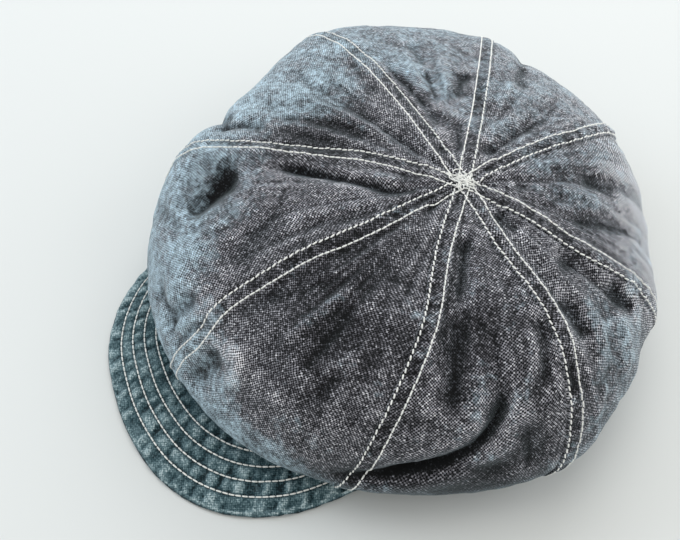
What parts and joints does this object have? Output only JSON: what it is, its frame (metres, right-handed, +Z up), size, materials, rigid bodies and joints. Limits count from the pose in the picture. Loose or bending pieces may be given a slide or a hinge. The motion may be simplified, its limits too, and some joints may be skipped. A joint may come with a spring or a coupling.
{
  "type": "work cap",
  "caption": "Soft full-crowned cap of felled cloth panels on an oval headband, with a stitched crescent peak.",
  "frame": {"origin": "middle of the cap's underside, on the surface it stands on", "axes": "+Z up from the table to the crown, the peak points to -Y, the back of the crown to +Y, +X to the wearer's right"},
  "size_m": [0.3052, 0.3374, 0.0957],
  "materials": {
    "chambray": "washed grey-blue cotton chambray, plain weave with pale weft flecks, matt with a soft sheen",
    "peak_cloth": "dark teal-blue cotton chambray, puckered between rows of stitching, matt",
    "cotton_thread": "off-white cotton topstitching thread, matt"
  },
  "bodies": {
    "root": {"crown_panel_1": "chambray", "crown_panel_2": "chambray", "crown_panel_3": "chambray", "crown_panel_4": "chambray", "crown_panel_5": "chambray", "crown_panel_6": "chambray", "crown_panel_7": "chambray", "crown_panel_8": "chambray", "crown_tack": "cotton_thread", "headband": "chambray", "peak": "peak_cloth"}
  },
  "joints": []
}
